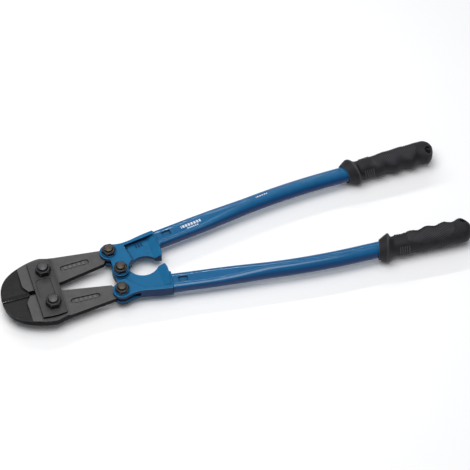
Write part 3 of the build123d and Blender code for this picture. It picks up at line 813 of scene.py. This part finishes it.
# %% Grip: the hanging hole
def build_plug():
    deselect_all()
    bpy.ops.mesh.primitive_cylinder_add(vertices=48, radius=hole_r, depth=hole_long,
                                        location=(hole_at, -hole_in, 0))
    plug = bpy.context.object
    bpy.ops.object.transform_apply(location=True)
    for sign in (1, -1):
        bpy.ops.object.mode_set(mode="EDIT")
        bpy.ops.mesh.select_mode(type="FACE")
        mesh = bmesh.from_edit_mesh(plug.data)
        for face in mesh.faces:
            centre = face.calc_center_median()
            face.select_set(len(face.verts) > 4 and centre.z * sign > hole_long * 0.49)
        bmesh.update_edit_mesh(plug.data)
        bpy.ops.mesh.extrude_region_move(TRANSFORM_OT_translate={"value": (0, 0, sign * 0.6 * mm)})
        ratio = 5.2 * mm / hole_r
        bpy.ops.transform.resize(value=(ratio, ratio, 1), center_override=(hole_at, -hole_in, 0))
        bpy.ops.mesh.extrude_region_move(TRANSFORM_OT_translate={"value": (0, 0, sign * 12 * mm)})
        bpy.ops.mesh.select_all(action="DESELECT")
        bpy.ops.object.mode_set(mode="OBJECT")
    return plug


def finish_grip(piece):
    plug = build_plug()
    deselect_all()
    bpy.context.view_layer.objects.active = piece
    piece.select_set(True)
    cut = piece.modifiers.new("hanging hole", "BOOLEAN")
    cut.object = plug
    cut.operation = "DIFFERENCE"
    bpy.ops.object.modifier_apply(modifier=cut.name)
    bpy.data.objects.remove(plug)
    piece.rotation_euler = (0, 0, grip_turn)
    piece.location = grip_mouth
    bpy.ops.object.transform_apply(location=True, rotation=True, scale=True)
    bpy.ops.object.shade_smooth_by_angle(angle=radians(34))
    piece.data.materials.append(grip_rubber)


deselect_all()
finish_grip(grip)
grip.name = "rubber_grip_upper"
print("upper grip:", len(grip.data.polygons), "faces")

# %% Grip: the lower one
deselect_all()
bpy.context.view_layer.objects.active = grip
grip.select_set(True)
bpy.ops.object.duplicate()
lower_grip = bpy.context.object
lower_grip.name = "rubber_grip_lower"
bpy.ops.object.mode_set(mode="EDIT")
bpy.ops.mesh.select_all(action="SELECT")
bpy.ops.transform.resize(value=(1, -1, 1), center_override=(0, 0, 0))
bpy.ops.mesh.normals_make_consistent(inside=False)
bpy.ops.object.mode_set(mode="OBJECT")
for piece, body, node in ((grip, "handle_upper", "grip_upper"), (lower_grip, "handle_lower", "grip_lower")):
    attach(piece, body)
    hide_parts(node)
print("grips ride on the handles")

# %% [markdown]
# ## Raised marks
# The dies leave plain raised bars on the floor of the panel in each jaw's tail and in the pocket of the
# upper yoke. A row is one mesh: cubes set out along X, bevelled, then turned and moved into place.
# Their feet are sunk a little into the steel.

# %% Raised marks
def raised_row(name, middle_point, turn, count, pitch, size, sunk):
    deselect_all()
    first = -(count - 1) / 2 * pitch
    bpy.ops.mesh.primitive_cube_add(size=1, location=(first, 0, 0), scale=size)
    piece = bpy.context.object
    bpy.ops.object.transform_apply(location=True, rotation=True, scale=True)
    bpy.ops.object.mode_set(mode="EDIT")
    for index in range(1, count):
        bpy.ops.mesh.primitive_cube_add(size=1, location=(first + index * pitch, 0, 0), scale=size)
    bpy.ops.mesh.select_all(action="SELECT")
    bpy.ops.mesh.bevel(offset=0.22 * mm, segments=2)
    bpy.ops.mesh.select_all(action="SELECT")
    bpy.ops.mesh.normals_make_consistent(inside=False)
    bpy.ops.object.mode_set(mode="OBJECT")
    piece.name = name
    piece.rotation_euler = (0, 0, turn)
    piece.location = Vector(middle_point) + Vector((0, 0, size[2] / 2 - sunk))
    bpy.ops.object.transform_apply(location=True, rotation=True, scale=True)
    return piece


half_plane = pivots["handles_open"].z
panel_floor = half_plane + 2.3 * mm
pocket_floor = half_plane + 2.4 * mm
panel_turn = radians(2.09)
upper_panel = pivots["jaw_upper_pivot"] + Vector((42.4 * mm, 1.27 * mm, 0))
lower_panel = pivots["jaw_lower_pivot"] + Vector((42.4 * mm, -1.27 * mm, 0))
pocket = pivots["handles_open"] + Vector((41.5 * mm, 1.7 * mm, 0))
foot = 0.2 * mm
panel_bar = (3.8 * mm, 4.8 * mm, 1.15 * mm)
pocket_bar = (2.0 * mm, 5.4 * mm, 1.2 * mm)
rubbed_bars = black_oxide("rubbed bars", (0.1, 0.099, 0.098), (0.004, 0.004, 0.0045), (0.2, 0.2, 0.2))
dark_bars = enamel("dark bars", (0.001, 0.04, 0.11), (0.0004, 0.015, 0.05), (0.02, 0.14, 0.3),
                   (70.0, 420.0, 1500.0), 0.0003, 0.42, 0.3)
rows = (
    ("panel_bars_upper", upper_panel, panel_floor, panel_turn, 5, 6.2 * mm, panel_bar,
     "jaw_upper", "jaw_steel", rubbed_bars),
    ("panel_bars_lower", lower_panel, panel_floor, -panel_turn, 5, 6.2 * mm, panel_bar,
     "jaw_lower", "jaw_steel", rubbed_bars),
    ("pocket_bars", pocket, pocket_floor, tube_way, 3, 3.8 * mm, pocket_bar,
     "handle_upper", "yoke_paint", dark_bars),
)
for name, spot, floor, turn, count, pitch, size, body, slot_name, finish in rows:
    piece = raised_row(name, (spot.x, spot.y, floor), turn, count, pitch, size, foot)
    piece.data.materials.append(finish)
    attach(piece, body)
    print(name, "has", len(piece.data.polygons), "faces")

# %% Bench finish
bench_finish, tree, shader = new_material("pale bench")
bench_place = add(tree, "TexCoord").outputs["Object"]
cloud = add(tree, "TexNoise", {"Vector": bench_place, "Scale": 3.0, "Detail": 4.0})
bench_tone = mix_colour(tree, cloud.outputs["Fac"], (0.92, 0.92, 0.92), (0.95, 0.95, 0.95))
tree.links.new(bench_tone, shader["Base Color"])
shader["Roughness"].default_value = 0.7
bench.data.materials.append(bench_finish)
print("bench finished")
